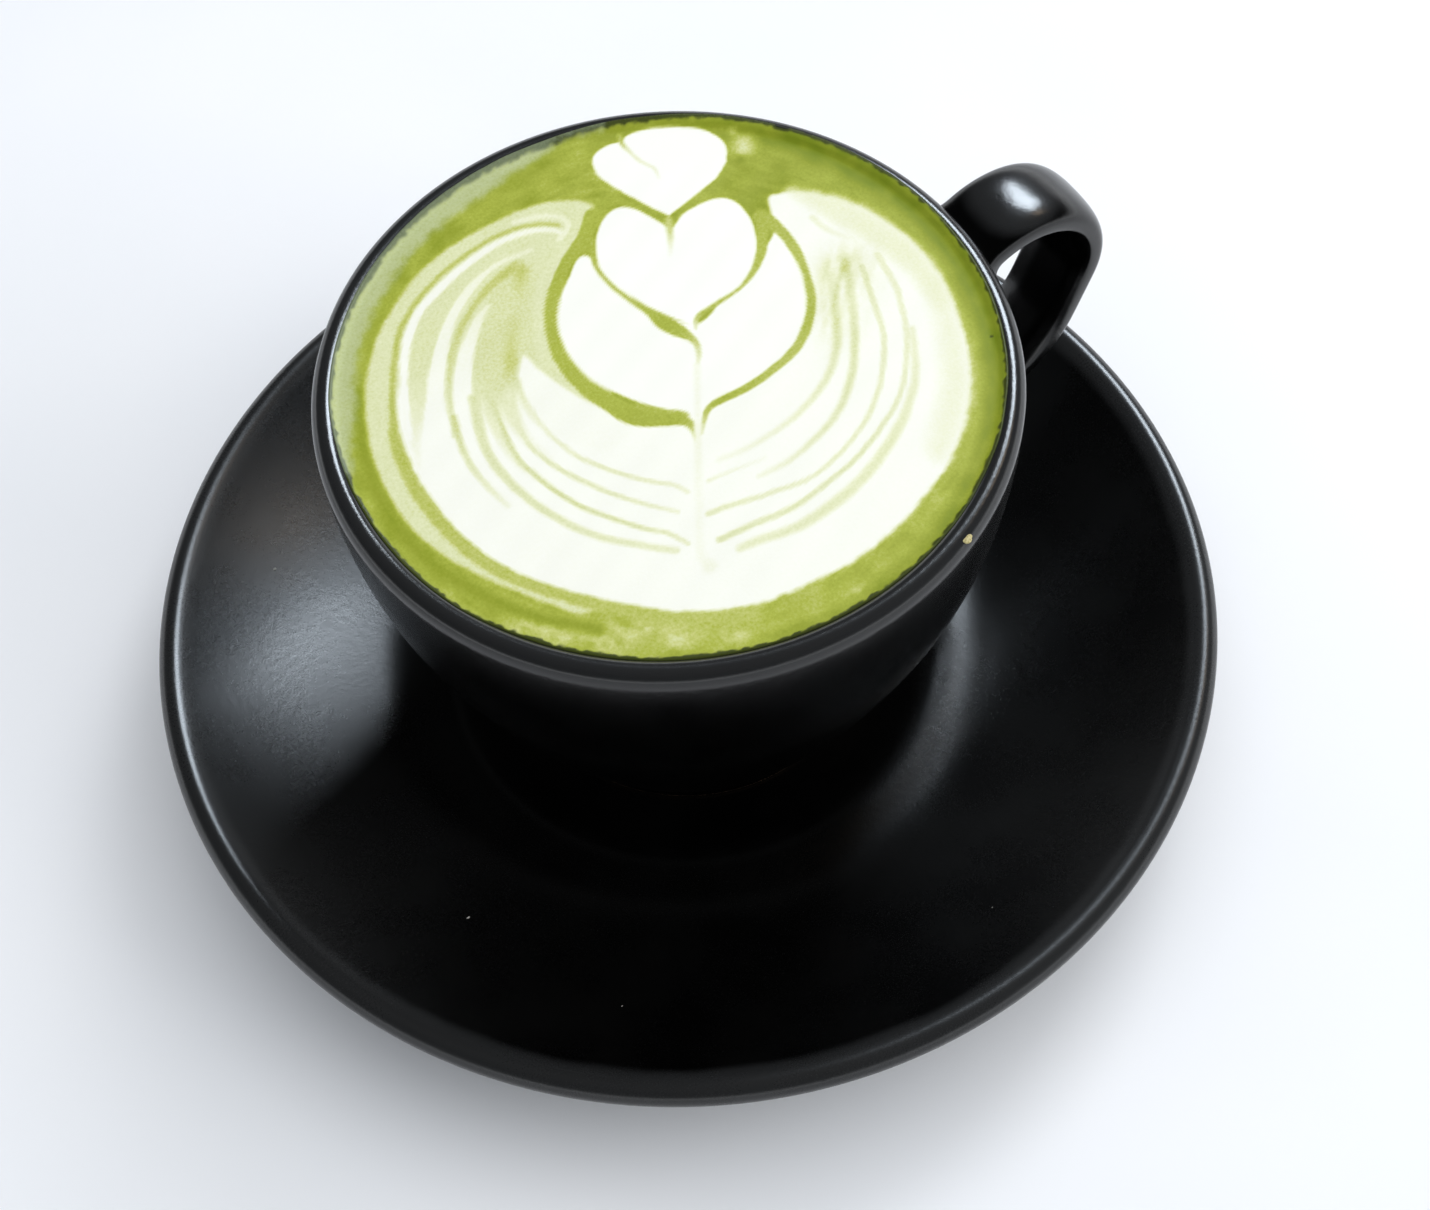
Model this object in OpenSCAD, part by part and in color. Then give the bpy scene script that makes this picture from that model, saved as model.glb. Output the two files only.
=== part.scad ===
// Matcha latte in a black stoneware cup on its saucer.
// Lengths are in millimetres, +Z is up and the saucer's foot stands on z = 0.
// The handle points along +X and the cup's axis is the Z axis.

/* [Saucer] */
// Overall width of the saucer
saucer_d = 160; // [140:1:180]
// Height of the rim's middle line above the table
saucer_rim_z = 22; // [18:0.5:28]
// Thickness of the saucer, which is also the thickness of its rounded rim
saucer_t = 4.4; // [3.5:0.1:5.5]
// Height of the flat seat that carries the cup
seat_z = 8; // [7:0.1:10]
// Slope of the dish where it leaves the flat seat, in degrees
dish_start_slope = 3; // [1:0.5:8]
// Width of flat seat left free around the cup's foot
seat_margin = 1.8; // [1:0.1:4]
// Outer width of the ring that the saucer stands on
saucer_foot_d = 84; // [70:1:96]
// Width of that ring's own wall
saucer_foot_w = 4; // [3:0.5:7]

/* [Cup] */
// Widest part of the cup, at its lip
cup_d = 94; // [84:1:106]
// Height of the cup from its foot to its brim
cup_h = 71; // [62:1:82]
// Thickness of the rounded lip
lip_t = 3.8; // [2.6:0.1:5]
// Outer width of the cup's foot
foot_d = 53.4; // [46:0.2:60]
// Height of the foot below the bowl
foot_h = 3; // [2:0.1:5]
// Width of the foot ring's wall
foot_w = 5.5; // [4:0.1:8]
// Height of the shallow recess inside the foot ring
foot_recess = 1.6; // [0.8:0.1:2.4]
// Thickness of the cup's bottom above the foot ring's face
floor_t = 5.5; // [4.5:0.1:8]
// Radius of the long curve that turns the bowl upright below the lip
upper_curve_r = 100; // [85:1:125]
// Share of the cup's height that the long curve covers
upper_curve_share = 0.44; // [0.35:0.01:0.55]
// Radius of the flatter curve from there down to the foot
lower_curve_r = 235; // [180:5:400]
// Radius of the rounded corner inside the bowl's bottom
inner_corner_r = 9; // [6:0.5:14]

/* [Handle] */
// Width of the strap
strap_w = 12.5; // [9:0.1:15]
// Thickness of the strap at the middle of its crowned outer face
strap_t = 5; // [4.2:0.1:6]
// Rise of the crowned outer face from the strap's edges to its middle
strap_crown = 1.8; // [1:0.1:2.4]
// Size of the bevel that takes the sharpness off the strap's edges
strap_bevel = 1.1; // [0.6:0.1:1.5]
// Inner radius of the tight bend at the top of the loop
top_bend_r = 9.2; // [7.5:0.1:12]
// How far that bend's centre stands out beyond the cup's widest circle
top_bend_out = 8.1; // [7:0.1:14]
// Depth of that bend's centre below the brim
top_bend_drop = 14.3; // [13:0.1:18]
// Angle by which the root of the handle climbs away from the bowl
root_climb = 32; // [20:1:40]
// Angle of the strap below horizontal, where the top bend ends, beyond straight down
fall_angle = 20; // [10:1:30]
// Length of the straight run between the two bends
fall_len = 8; // [4:0.5:12]
// Inner radius of the wide bend at the bottom of the loop
low_bend_r = 15.5; // [11:0.5:20]
// Angle by which the lower end of the strap falls towards the bowl
tail_fall = 12; // [5:1:25]

/* [Drink] */
// Depth of the drink's surface below the brim
fill_drop = 0.8; // [0.5:0.1:3]
// Clearance between the drink and the cup's wall
drink_gap = 0.15; // [0.05:0.05:0.3]

/* [Hidden] */
$fn = 240;
tool_size = 400;

// Saucer: the dish is an arc that leaves the flat seat at the start slope
// and touches the round rim from inside.
rim_r = saucer_t / 2;
rim_x = saucer_d / 2 - rim_r;
seat_r = foot_d / 2 + seat_margin;
dish_run = rim_x - seat_r;
dish_rise = saucer_rim_z - seat_z;
dish_r = (dish_run * dish_run + dish_rise * dish_rise - rim_r * rim_r)
    / (2 * rim_r + 2 * dish_rise * cos(dish_start_slope)
    - 2 * dish_run * sin(dish_start_slope));
dish_cx = seat_r - dish_r * sin(dish_start_slope);
dish_cz = seat_z + dish_r * cos(dish_start_slope);
// The wall's end is cut along the line from the dish's centre through the rim's.
rim_tilt = atan2(rim_x - dish_cx, dish_cz - saucer_rim_z);
saucer_foot_round = 0.9;

// Cup heights, all measured from the table.
brim_z = seat_z + cup_h;
lip_r = lip_t / 2;
lip_z = brim_z - lip_r;
lip_x = cup_d / 2 - lip_r;
bend_z = lip_z - upper_curve_share * cup_h;
bowl_z = seat_z + foot_h;
floor_z = seat_z + floor_t;
foot_round = 0.8;

// Outside of the bowl: the upper curve is upright at the lip, and the lower
// curve carries on from it without a corner.
upper_cx = cup_d / 2 - upper_curve_r;
bend_angle = asin((lip_z - bend_z) / upper_curve_r);
lower_cx = upper_cx + (upper_curve_r - lower_curve_r) * cos(bend_angle);
lower_cz = lip_z + (lower_curve_r - upper_curve_r) * sin(bend_angle);

// Inside corner of the bowl, touching both the floor and the inner wall.
inner_lower_r = lower_curve_r - lip_t;
corner_z = floor_z + inner_corner_r;
corner_x = lower_cx + sqrt(pow(inner_lower_r - inner_corner_r, 2) - pow(lower_cz - corner_z, 2));
corner_top_z = corner_z - inner_corner_r * sin(atan2(lower_cz - corner_z, corner_x - lower_cx));

// Handle: middle line of the strap.
strap_mid = strap_t / 2;
top_bend_x = cup_d / 2 + top_bend_out;
top_bend_z = brim_z - top_bend_drop;
top_mid_r = top_bend_r + strap_mid;
low_mid_r = low_bend_r + strap_mid;
root_x = top_bend_x - top_mid_r * sin(root_climb);
root_z = top_bend_z + top_mid_r * cos(root_climb);
root_len = (root_x - cup_d / 2 + 2 * lip_t) / cos(root_climb);
fall_x = top_bend_x + top_mid_r * cos(fall_angle);
fall_z = top_bend_z - top_mid_r * sin(fall_angle);
low_start_x = fall_x - fall_len * sin(fall_angle);
low_start_z = fall_z - fall_len * cos(fall_angle);
low_bend_x = low_start_x - low_mid_r * cos(fall_angle);
low_bend_z = low_start_z + low_mid_r * sin(fall_angle);
tail_x = low_bend_x + low_mid_r * sin(tail_fall);
tail_z = low_bend_z - low_mid_r * cos(tail_fall);
tail_wall_x = lower_cx + sqrt(pow(lower_curve_r, 2) - pow(lower_cz - tail_z, 2));
tail_len = (tail_x - tail_wall_x + 2 * lip_t) / cos(tail_fall);

// The straight runs are drawn in by this much and reach this far into the bends,
// so that the strap fuses into one solid.
run_inset = 0.05;
run_reach = 0.4;

// Radius of the crowned face, from its width and its rise.
crown_r = (pow(strap_w / 2, 2) + pow(strap_crown, 2)) / (2 * strap_crown);
crown_c = strap_t - crown_r;

// Part of a disc between two heights, right of the axis.
module disc_band(cx, cz, r, low, high) {
    intersection() {
        translate([cx, cz])
            circle(r);
        translate([0, low])
            square([tool_size, high - low]);
    }
}

// Ring section with a flat bottom at z = 0 and rounded lower edges.
module foot_section(r_in, r_out, top, round_r) {
    translate([r_in, round_r])
        square([r_out - r_in, top - round_r]);
    translate([r_in + round_r, 0])
        square([r_out - r_in - 2 * round_r, round_r]);
    for (x = [r_in + round_r, r_out - round_r])
        intersection() {
            translate([x, round_r])
                circle(round_r);
            translate([r_in, 0])
                square([r_out - r_in, round_r]);
        }
}

// Half section of the saucer.
module saucer_section() {
    wedge = tool_size;
    difference() {
        intersection() {
            translate([dish_cx, dish_cz])
                circle(dish_r + saucer_t);
            translate([dish_cx, dish_cz])
                polygon([
                    [0, 0],
                    [wedge * sin(rim_tilt), -wedge * cos(rim_tilt)],
                    [wedge * sin(dish_start_slope), -wedge]
                ]);
            translate([seat_r, 0])
                square([tool_size, tool_size]);
        }
        translate([dish_cx, dish_cz])
            circle(dish_r);
    }
    translate([rim_x, saucer_rim_z])
        circle(rim_r);
    translate([0, seat_z - saucer_t])
        square([seat_r, saucer_t]);
}

module saucer() {
    color("#141516")
        rotate_extrude() {
            saucer_section();
            foot_section(
                saucer_foot_d / 2 - saucer_foot_w,
                saucer_foot_d / 2,
                seat_z - saucer_t / 2,
                saucer_foot_round
            );
        }
}

// Outside of the bowl as a filled half section, drawn in by the given amount.
module bowl_outline(inset) {
    disc_band(upper_cx, lip_z, upper_curve_r - inset, bend_z, lip_z);
    disc_band(lower_cx, lower_cz, lower_curve_r - inset, bowl_z, bend_z);
}

// Inside of the bowl as a filled half section, drawn in by the given amount.
module hollow_outline(inset) {
    disc_band(upper_cx, lip_z, upper_curve_r - lip_t - inset, bend_z, lip_z);
    disc_band(lower_cx, lower_cz, inner_lower_r - inset, corner_top_z, bend_z);
    disc_band(corner_x, corner_z, inner_corner_r - inset, floor_z, corner_top_z);
    translate([0, floor_z])
        square([corner_x, bend_z - floor_z]);
}

// Cross-section of the strap, drawn in by the given amount: the inner face is
// on y = 0 and the crowned face is towards +y.
module strap_section(inset) {
    half = strap_w / 2 - inset;
    low = inset;
    high = strap_t;
    intersection() {
        polygon([
            [-half + strap_bevel, low],
            [half - strap_bevel, low],
            [half, low + strap_bevel],
            [half, high - strap_crown - strap_bevel / 2],
            [half - strap_bevel, high],
            [strap_bevel - half, high],
            [-half, high - strap_crown - strap_bevel / 2],
            [-half, low + strap_bevel]
        ]);
        translate([0, crown_c])
            circle(crown_r - inset);
    }
}

// Straight run of strap from a point of the middle line, heading at an angle
// in the XZ plane. The crowned face is left of the heading on side 1 and
// right of it on side -1.
module strap_run(x, z, heading, length, side) {
    translate([x, 0, z])
        rotate([0, -heading, 0])
            rotate([90, 0, 90])
                rotate([0, 0, side > 0 ? 0 : 180])
                    translate([0, -strap_mid, -run_reach])
                        linear_extrude(length + 2 * run_reach)
                            strap_section(run_inset);
}

// Bend of strap about a centre in the XZ plane, between two angles.
module strap_bend(x, z, inner_r, from_angle, to_angle) {
    translate([x, 0, z])
        rotate([90, 0, 0])
            rotate([0, 0, from_angle])
                rotate_extrude(angle = to_angle - from_angle)
                    translate([inner_r, 0])
                        rotate([0, 0, -90])
                            strap_section(0);
}

module handle() {
    difference() {
        union() {
            strap_run(root_x, root_z, 180 + root_climb, root_len, -1);
            strap_bend(top_bend_x, top_bend_z, top_bend_r, -fall_angle, 90 + root_climb);
            strap_run(fall_x, fall_z, -90 - fall_angle, fall_len, 1);
            strap_bend(low_bend_x, low_bend_z, low_bend_r, tail_fall - 90, -fall_angle);
            strap_run(tail_x, tail_z, 180 + tail_fall, tail_len, 1);
        }
        rotate_extrude()
            bowl_outline(lip_t / 2);
    }
}

module bowl() {
    rotate_extrude() {
        difference() {
            bowl_outline(0);
            hollow_outline(0);
        }
        disc_band(lip_x, lip_z, lip_r, lip_z, brim_z + 1);
        translate([0, seat_z + foot_recess])
            square([foot_d / 2 - foot_w, foot_h - foot_recess]);
        translate([0, seat_z])
            foot_section(foot_d / 2 - foot_w, foot_d / 2, foot_h, foot_round);
    }
}

module cup() {
    color("#101112")
        union() {
            bowl();
            handle();
        }
}

module drink() {
    level_z = brim_z - fill_drop;
    color("#a9b548")
        rotate_extrude() {
            hollow_outline(drink_gap);
            difference() {
                translate([0, lip_z])
                    square([lip_x, level_z - lip_z]);
                translate([lip_x, lip_z])
                    circle(lip_r + drink_gap);
            }
        }
}

saucer();
cup();
drink();
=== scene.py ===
# %% [markdown]
# # A matcha latte in a dark glazed cup
# The real thing is three pieces: a thrown saucer, a cup with a strap handle, and the drink that
# fills the cup to just under its brim, with milk foam poured on it as stacked hearts. The packed
# model holds all three as solids. Here each one gets the soft edges, glaze and foam that a maker
# would see, in the same place and at the same size.

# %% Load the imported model
import bpy
import numpy as np
from mathutils import Matrix, Vector


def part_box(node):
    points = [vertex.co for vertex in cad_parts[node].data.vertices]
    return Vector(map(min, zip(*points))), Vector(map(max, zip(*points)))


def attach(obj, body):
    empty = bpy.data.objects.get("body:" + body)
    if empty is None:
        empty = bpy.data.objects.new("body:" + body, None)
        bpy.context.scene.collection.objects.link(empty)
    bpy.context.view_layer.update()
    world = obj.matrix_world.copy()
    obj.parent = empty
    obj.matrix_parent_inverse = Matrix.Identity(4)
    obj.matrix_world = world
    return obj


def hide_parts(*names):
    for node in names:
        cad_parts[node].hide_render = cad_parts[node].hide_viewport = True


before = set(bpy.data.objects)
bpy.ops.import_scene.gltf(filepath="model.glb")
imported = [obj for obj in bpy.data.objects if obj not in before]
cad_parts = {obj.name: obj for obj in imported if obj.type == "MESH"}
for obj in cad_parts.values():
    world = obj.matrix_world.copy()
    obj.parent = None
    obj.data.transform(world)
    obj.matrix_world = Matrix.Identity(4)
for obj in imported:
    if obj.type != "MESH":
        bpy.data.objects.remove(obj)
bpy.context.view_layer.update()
MM = 0.001
brim_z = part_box("cup")[1][2] / MM
print("nodes:", sorted(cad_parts), "brim at", round(brim_z, 2), "mm")

# %% [markdown]
# ## Curves as arrays
# Pottery is drawn with arcs. Each arc here is a row of points worked out at once by numpy. Rows
# are joined into a profile, walked at an even step, and softened, because a glaze rounds every
# edge that the clay had.

# %% Arc, even steps and softened edges


def arc(centre_r, centre_z, radius, start, stop, count=40):
    """Points on a circle: centre plus radius times (cos, sin) of evenly spaced angles."""
    turn = np.radians(np.linspace(start, stop, count))
    return np.stack([centre_r + radius * np.cos(turn), centre_z + radius * np.sin(turn)], 1)


def even_steps(line, step):
    """The same line walked at equal lengths, found by interpolating against its own length."""
    along = np.concatenate([[0], np.cumsum(np.linalg.norm(np.diff(line, axis=0), axis=1))])
    keep = np.concatenate([[True], np.diff(along) > 1e-9])
    marks = np.linspace(0, along[-1], int(round(along[-1] / step)) + 1)
    return np.stack([np.interp(marks, along[keep], line[keep, k]) for k in range(line.shape[1])], 1)


def softened(line, step, reach):
    """Each point becomes the bell-weighted mean of its neighbours, so corners turn round."""
    fine = even_steps(line, step)
    span = int(np.ceil(3 * reach / step))
    bell = np.exp(-0.5 * (np.arange(-span, span + 1) * step / reach) ** 2)
    bell /= bell.sum()
    padded = np.concatenate([2 * fine[:1] - fine[span:0:-1], fine, 2 * fine[-1:] - fine[-2:-span - 2:-1]])
    return np.stack([np.convolve(padded[:, k], bell, "valid") for k in range(fine.shape[1])], 1)


# %% [markdown]
# ## From points to pieces
# Pots are thrown on a wheel, so their meshes are one profile turned round the axis. Quads join
# each ring to the next, and a fan of triangles closes each end. Whole arrays are built at once.

# %% Grids of points to meshes


def mesh_piece(name, points, faces):
    """A mesh object from points in millimetres and quads or triangles, smooth all over."""
    mesh = bpy.data.meshes.new(name)
    mesh.from_pydata((points * MM).tolist(), [], faces)
    mesh.polygons.foreach_set("use_smooth", np.ones(len(mesh.polygons), bool))
    mesh.validate()
    piece = bpy.data.objects.new(name, mesh)
    bpy.context.collection.objects.link(piece)
    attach(piece, "root")
    size = np.ptp(points, axis=0)
    print(name, len(mesh.vertices), "points, size", np.round(size, 1), "mm")
    return piece


def ring_quads(rows, columns, first=0):
    """Quads between row k and k + 1 of a grid whose columns close on themselves."""
    k, j = np.meshgrid(np.arange(rows - 1), np.arange(columns), indexing="ij")
    right = (j + 1) % columns
    corners = [k * columns + j, k * columns + right, (k + 1) * columns + right, (k + 1) * columns + j]
    return (np.stack(corners, -1).reshape(-1, 4) + first).tolist()


def pole_fan(ring_first, columns, pole, flip):
    """Triangles from one ring to the point that closes it."""
    j = np.arange(columns)
    right = (j + 1) % columns
    a, b = (right, j) if flip else (j, right)
    return np.stack([ring_first + a, ring_first + b, np.full(columns, pole)], 1).tolist()


def thrown(profile, columns):
    """A pot from the wheel: (r cos t, r sin t, z) for each profile point (r, z) and turn t.
    The profile starts and ends on the axis, and those two ends become single pole points."""
    turn = np.linspace(0, 2 * np.pi, columns, endpoint=False)
    r, z = profile[1:-1, 0:1], profile[1:-1, 1:2]
    body = np.stack([r * np.cos(turn), r * np.sin(turn), z + 0 * turn], -1).reshape(-1, 3)
    poles = np.array([[0, 0, profile[0, 1]], [0, 0, profile[-1, 1]]])
    rows = len(profile) - 2
    faces = ring_quads(rows, columns)
    faces += pole_fan(0, columns, len(body), True)
    faces += pole_fan((rows - 1) * columns, columns, len(body) + 1, False)
    return np.concatenate([body, poles]), faces


# %% [markdown]
# ## The saucer
# A saucer this size is one dished wall with a turned foot ring below and a flat seat for the cup.
# Its dish is one arc that leaves the seat almost level and steepens to a rounded bead at the rim.
# The underside is the same arc one wall thickness further out, so the wall is even. A low ring,
# a bell curve of the radius added to the upper face, keeps the cup's foot on its seat.

# %% Saucer profile and piece
wall = 4.4
seat_z = 8.0
rim_r, rim_z, bead = 77.8, 22.0, 2.2
dish_r, dish_cr, dish_cz = 96.4, 23.46, 104.25
foot_out, foot_in = 42.0, 38.0
crest_r, crest_h, crest_in, crest_out = 38.2, 2.0, 4.9, 5.5
rim_turn = np.degrees(np.arctan2(rim_z - dish_cz, rim_r - dish_cr))
under_r = dish_r + wall


def under_turn(r):
    """Turn along the underside arc at which it stands r from the axis."""
    return -np.degrees(np.arccos((r - dish_cr) / under_r))


saucer_profile = np.concatenate([
    [[0, seat_z - wall]],
    arc(dish_cr, dish_cz, under_r, -87, under_turn(foot_in), 12),
    [[foot_in, 0], [foot_out, 0]],
    arc(dish_cr, dish_cz, under_r, under_turn(foot_out), rim_turn),
    arc(rim_r, rim_z, bead, rim_turn, rim_turn + 180, 24),
    arc(dish_cr, dish_cz, dish_r, rim_turn, -87),
    [[0, seat_z]],
])
saucer_profile = softened(saucer_profile, 0.6, 0.55)
saucer_profile[:, 1] -= saucer_profile[:, 1].min()
upper_face = saucer_profile[:, 1] > seat_z - 0.5 * wall
past_crest = saucer_profile[:, 0] - crest_r
seat_ring = crest_h * np.exp(-(past_crest / np.where(past_crest > 0, crest_out, crest_in)) ** 2)
saucer_profile[:, 1] += np.where(upper_face, seat_ring, 0)
saucer_points, saucer_faces = thrown(saucer_profile, 264)
saucer_piece = mesh_piece("saucer_glazed", saucer_points, saucer_faces)
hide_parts("saucer")

# %% [markdown]
# ## The cup bowl
# The bowl narrows in two gentle arcs from a thick, fully rounded lip down to a small foot. The
# inside runs parallel to the outside, one wall thickness in, and turns into the floor on a round
# corner. The whole section is one closed profile, so the bowl is thrown in one go.

# %% Bowl profile and piece
lip = 1.9
lip_r, lip_z = 45.1, 77.1
clay = 2 * lip
upper_r, upper_cr = 100.0, -53.0
lower_r, lower_cr, lower_cz = 235.0, -181.25, 119.27
upper_end_z, lower_top_z = 45.86, 45.3
bend_turn = np.degrees(np.arcsin((upper_end_z - lip_z) / upper_r))
foot_r, foot_w, recess = 26.7, 5.5, 1.6
base_z, shoulder_z, floor_z, corner = 8.0, 11.0, 13.5, 9.0


def lower_turn(radius, z):
    """Turn along a lower wall arc at which it stands at height z."""
    return np.degrees(np.arcsin((z - lower_cz) / radius))


inner_lower = lower_r - clay
corner_z = floor_z + corner
corner_turn = lower_turn(inner_lower - corner, corner_z)
corner_r = lower_cr + (inner_lower - corner) * np.cos(np.radians(corner_turn))
inside = np.concatenate([
    arc(upper_cr, lip_z, upper_r - clay, 0, bend_turn),
    arc(lower_cr, lower_cz, inner_lower, lower_turn(inner_lower, lower_top_z), corner_turn, 30),
    arc(corner_r, corner_z, corner, corner_turn, -90, 20),
    [[0, floor_z]],
])
bowl_profile = np.concatenate([
    [[0, base_z + recess], [foot_r - foot_w - 0.8, base_z + recess], [foot_r - foot_w, base_z]],
    [[foot_r, base_z], [foot_r, shoulder_z]],
    arc(lower_cr, lower_cz, lower_r, lower_turn(lower_r, shoulder_z), lower_turn(lower_r, lower_top_z)),
    arc(upper_cr, lip_z, upper_r, bend_turn, 0),
    arc(lip_r, lip_z, lip, 0, 180, 24),
    inside,
])
bowl_profile = softened(bowl_profile, 0.55, 0.45)
bowl_profile[:, 1] += base_z - bowl_profile[:, 1].min()
bowl_points, bowl_faces = thrown(bowl_profile, 240)

# %% [markdown]
# ## The strap handle
# A handle like this is pulled as a flat strap and bent while soft: it leaves the wall just under
# the lip, climbs over a tight shoulder, drops, and curls back in to the wall. So its middle line
# is drawn as arcs, and a rounded strap section is carried along it. Where the clay was pressed on,
# the section swells into a small fillet, and its ends are hidden inside the wall.

# %% Handle middle line and section
strap_w, strap_t, crown = 12.5, 5.0, 0.9
shoulder_cx, shoulder_cz, shoulder_r = 55.1, 64.7, 11.7
curl_cx, curl_cz, curl_r = 46.44, 59.34, 18.0
root_turn, fall_turn, curl_turn = 122.0, -20.0, -78.0
root_reach, tail_reach = 4.6, 12.7
squared = 0.52


def straight_end(end, heading, length):
    """The point that lies a length beyond an end, in a heading given in degrees."""
    h = np.radians(heading)
    return [end[0] + length * np.cos(h), end[1] + length * np.sin(h)]


shoulder = arc(shoulder_cx, shoulder_cz, shoulder_r, root_turn, fall_turn)
curl = arc(curl_cx, curl_cz, curl_r, fall_turn, curl_turn)
middle = np.concatenate([
    [straight_end(shoulder[0], root_turn + 90, root_reach)],
    shoulder,
    curl,
    [straight_end(curl[-1], curl_turn - 90, tail_reach)],
])
middle = softened(middle, 0.55, 0.8)
tangent = np.gradient(middle, axis=0)
tangent /= np.linalg.norm(tangent, axis=1)[:, None]
outward = np.stack([-tangent[:, 1], tangent[:, 0]], 1)


def strap_section(count):
    """A closed strap outline: a superellipse, whose upper and lower faces bulge a little."""
    t = np.linspace(0, 2 * np.pi, count, endpoint=False)
    across = 0.5 * strap_w * np.sign(np.cos(t)) * np.abs(np.cos(t)) ** squared
    through = 0.5 * strap_t * np.sign(np.sin(t)) * np.abs(np.sin(t)) ** (squared + 0.1)
    dome = 1 - (2 * across / strap_w) ** 2
    return across, through * (1 - crown / strap_t) + np.sign(through) * 0.5 * crown * dome


across, through_strap = strap_section(72)
walked = np.concatenate([[0], np.cumsum(np.linalg.norm(np.diff(middle, axis=0), axis=1))])
clay_in, swell_by, swell_run = 2.0, 1.2, 1.5
swell = swell_by * (np.exp(-((walked - clay_in) / swell_run) ** 2)
                    + np.exp(-((walked[-1] - clay_in - walked) / swell_run) ** 2))
wide = 1 + swell[:, None] / (strap_w / 2)
deep = 1 + swell[:, None] / (strap_t / 2)
handle_points = np.stack([
    middle[:, 0:1] + outward[:, 0:1] * through_strap * deep,
    across * wide,
    middle[:, 1:2] + outward[:, 1:2] * through_strap * deep,
], -1).reshape(-1, 3)
ends = np.array([[middle[0, 0], 0, middle[0, 1]], [middle[-1, 0], 0, middle[-1, 1]]])
rows, columns = len(middle), len(across)
handle_points = np.concatenate([handle_points, ends])
handle_faces = ring_quads(rows, columns)
handle_faces += pole_fan(0, columns, rows * columns, True)
handle_faces += pole_fan((rows - 1) * columns, columns, rows * columns + 1, False)


def facing_out(points, faces):
    """Faces turned round if the volume they enclose, summed from the origin, comes out negative."""
    tri = np.array([f[:3] for f in faces] + [[f[0], f[2], f[3]] for f in faces if len(f) == 4])
    a, b, c = points[tri[:, 0]], points[tri[:, 1]], points[tri[:, 2]]
    volume = np.einsum("ij,ij->i", a, np.cross(b, c)).sum() / 6
    print("closed volume", round(abs(volume) / 1000, 1), "ml")
    return faces if volume > 0 else [f[::-1] for f in faces]


# %% [markdown]
# ## Bowl and handle together
# The handle's ends are pressed into the wall before firing, so the two are one piece of stoneware.
# Here they are two closed skins in one mesh, and the handle's ends are out of sight in the wall.

# %% One cup from bowl and handle
bowl_faces = facing_out(bowl_points, bowl_faces)
handle_faces = facing_out(handle_points, handle_faces)
shifted = [[v + len(bowl_points) for v in f] for f in handle_faces]
cup_piece = mesh_piece("cup_glazed", np.concatenate([bowl_points, handle_points]),
                       bowl_faces + shifted)
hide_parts("cup")

# %% [markdown]
# ## The drink
# The cup is filled to just under the brim, and the liquid creeps up the rounded lip as a thin wet
# film that ends at a slightly different place all the way round. The surface is a square grid
# squeezed into a disc ring by ring, which keeps its cells nearly even, so fine foam lines come
# out equally sharp everywhere. Below its edge the piece runs down inside the wall and across the
# floor, so there is no gap between drink and clay.

# %% Disc grid and film edge
pour_turn = np.radians(28.7)
fill_drop = 0.8
level_z = brim_z - fill_drop
cells = 270
edge_at = [(0, 44.6), (20, 44.8), (45, 45.1), (60, 45.3), (80, 45.4), (95, 45.0), (112, 44.5),
           (150, 44.4), (180, 44.4), (196, 43.9), (210, 43.7), (230, 43.8), (243, 43.5),
           (270, 43.5), (300, 43.5), (315, 43.7), (330, 43.9), (345, 44.3), (360, 44.6)]


def ragged(angle, seed, waves, size):
    """A sum of sines of whole turns round the cup, with seeded phases: a closed uneven line."""
    rng = np.random.default_rng(seed)
    k = rng.integers(waves[0], waves[1], 14)
    phase = rng.uniform(0, 2 * np.pi, 14)
    return size * np.sin(angle[..., None] * k + phase).sum(-1) / np.sqrt(14)


def film_edge(angle):
    """How far from the axis the wet film ends, joined smoothly from stop to stop round the lip."""
    stops = np.array(edge_at, float)
    turn = np.degrees(angle) % 360
    t = np.searchsorted(stops[:, 0], turn, "right") - 1
    t = np.clip(t, 0, len(stops) - 2)
    f = (turn - stops[t, 0]) / (stops[t + 1, 0] - stops[t, 0])
    f = f * f * (3 - 2 * f)
    return stops[t, 1] * (1 - f) + stops[t + 1, 1] * f + ragged(angle, 3, (9, 70), 0.018)


line = np.linspace(-1, 1, cells)
a, b = np.meshgrid(line, line, indexing="ij")
across_major = np.abs(a) >= np.abs(b)
ring = np.maximum(np.abs(a), np.abs(b))
lead = np.where(across_major, a, b)
other = np.where(across_major, b, a)
quarter = np.pi / 4 * np.divide(other, lead, out=np.zeros_like(a), where=lead != 0)
flat = np.where(across_major, quarter, np.pi / 2 - quarter) + np.where(lead < 0, np.pi, 0)
pour_x = (ring * film_edge(flat) * np.cos(flat)).ravel()
pour_y = (ring * film_edge(flat) * np.sin(flat)).ravel()
pour_r = np.hypot(pour_x, pour_y)
print("foam points", pour_r.size, "spaced", round(2 * 44 / cells, 2), "mm")

# %% [markdown]
# ## Where drink meets clay
# A full cup's surface turns up at the wall, so the height rises over the last millimetre and then
# follows the round of the lip. The skirt below it is sunk a little into the clay.

# %% Height of the surface and the skirt below it
film_t, creep = 0.05, 1.1
meet_r = lip_r - np.sqrt(lip ** 2 - (level_z - lip_z) ** 2)


def lip_height(r, over):
    """Height of the rounded lip at r, raised by a film thickness."""
    return lip_z + np.sqrt(np.maximum((lip + over) ** 2 - (lip_r - r) ** 2, 0))


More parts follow.
